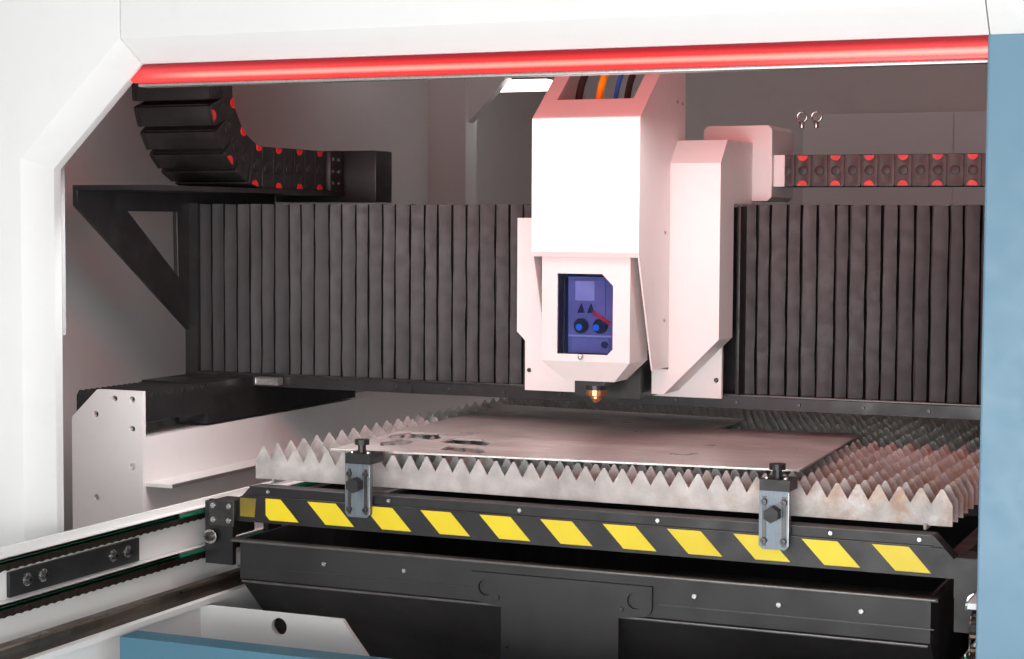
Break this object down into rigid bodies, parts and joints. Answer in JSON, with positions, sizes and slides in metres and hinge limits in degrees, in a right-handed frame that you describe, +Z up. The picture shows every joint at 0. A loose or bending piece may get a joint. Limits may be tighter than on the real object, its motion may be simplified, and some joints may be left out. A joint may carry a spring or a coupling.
{
  "type": "laser cutting machine",
  "caption": "Enclosed sheet metal laser cutter: a gantry with a cutting head works over a slatted shuttle pallet, which runs on chain rails through a doorway to an outer frame.",
  "frame": {"origin": "on the floor under the front wall's outer face, at the pallet's centre line", "axes": "+X to the right seen from the pallet's outer end, +Y into the machine along the pallet's travel, +Z up"},
  "size_m": [3.6, 8, 2.5],
  "materials": {
    "white_paint": "satin",
    "grey_paint": "satin",
    "blue_paint": "satin",
    "black_paint": "satin",
    "red_light": "gloss",
    "lamp_white": "matte",
    "bellows_fabric": "matte",
    "black_plastic": "matte",
    "dark_steel": "oily",
    "bright_steel": "brushed",
    "zinc_steel": "dull",
    "chrome": "polished",
    "copper": "polished",
    "blue_pane": "clear"
  },
  "bodies": {
    "machine": {"base_frame": "grey_paint", "side_beam_left": "white_paint", "side_beam_right": "white_paint", "front_panel_left": "white_paint", "lintel_panel": "white_paint", "front_panel_right": "white_paint", "blue_side_panel": "blue_paint", "lower_front_panel": "blue_paint", "side_wall_left": "white_paint", "side_wall_right": "white_paint", "back_wall": "white_paint", "roof": "white_paint", "light_bar": "red_light", "door_guide_left": "grey_paint", "door_guide_right": "grey_paint", "corner_column": "white_paint", "work_lamp": "lamp_white", "rear_cabinet": "grey_paint", "inner_rail_left": "white_paint", "inner_rail_right": "white_paint", "outer_frame_left": "white_paint", "outer_frame_right": "white_paint", "outer_frame_end": "white_paint", "drive_chain_left": "dark_steel", "drive_chain_right": "dark_steel", "run_rail_left": "dark_steel", "run_rail_right": "dark_steel", "guide_rail_left": "bright_steel", "guide_rail_right": "bright_steel", "way_bellows_left": "bellows_fabric", "way_bellows_right": "bellows_fabric", "scrap_chute": "black_paint"},
    "lift_door": {"lift_door": "blue_paint"},
    "gantry": {"gantry_beam": "black_paint", "gantry_truck_left": "black_paint", "gantry_truck_right": "black_paint", "bellows_left": "bellows_fabric", "bellows_right": "bellows_fabric", "gantry_apron": "black_paint", "chain_bracket": "black_paint", "gantry_end_right": "black_paint", "y_chain": "black_plastic", "x_chain": "black_plastic"},
    "carriage": {"carriage_plate": "white_paint", "head_cowl": "white_paint", "side_cowl": "white_paint", "rear_box": "white_paint"},
    "head": {"head_cover": "white_paint", "safety_window": "blue_pane", "cutting_head": "chrome", "nozzle": "copper"},
    "pallet": {"pallet_frame": "black_paint", "slat_grid": "zinc_steel", "steel_sheet": "bright_steel", "clamp_plate_left": "grey_paint", "clamp_plate_right": "grey_paint"},
    "jaw_left": {"clamp_jaw_left": "black_paint"},
    "jaw_right": {"clamp_jaw_right": "black_paint"},
    "knob_left": {"clamp_knob_left": "black_plastic"},
    "knob_right": {"clamp_knob_right": "black_plastic"}
  },
  "joints": [
    {"name": "door_travel", "type": "slide", "parent": "machine", "child": "lift_door", "axis": [0, 0, 1], "range_m": [-0.72, 0]},
    {"name": "gantry_travel", "type": "slide", "parent": "machine", "child": "gantry", "axis": [0, 1, 0], "range_m": [-0.12, 2.3], "deforming": ["y_chain", "way_bellows_left", "way_bellows_right"]},
    {"name": "carriage_travel", "type": "slide", "parent": "gantry", "child": "carriage", "axis": [1, 0, 0], "range_m": [-0.74, 0.88], "deforming": ["x_chain", "bellows_left", "bellows_right"]},
    {"name": "head_height", "type": "slide", "parent": "carriage", "child": "head", "axis": [0, 0, 1], "range_m": [-0.085, 0.08]},
    {"name": "pallet_travel", "type": "slide", "parent": "machine", "child": "pallet", "axis": [0, 1, 0], "range_m": [-3.5, 0]},
    {"name": "jaw_left_lift", "type": "slide", "parent": "pallet", "child": "jaw_left", "axis": [0, 0, 1], "range_m": [0, 0.03]},
    {"name": "jaw_right_lift", "type": "slide", "parent": "pallet", "child": "jaw_right", "axis": [0, 0, 1], "range_m": [0, 0.03]},
    {"name": "knob_left_turn", "type": "hinge", "parent": "pallet", "child": "knob_left", "pos_m": [-0.469, 0.43, 0.862], "axis": [0, 1, 0], "range_deg": [-180, 180]},
    {"name": "knob_right_turn", "type": "hinge", "parent": "pallet", "child": "knob_right", "pos_m": [0.443, 0.43, 0.862], "axis": [0, 1, 0], "range_deg": [-180, 180]}
  ]
}
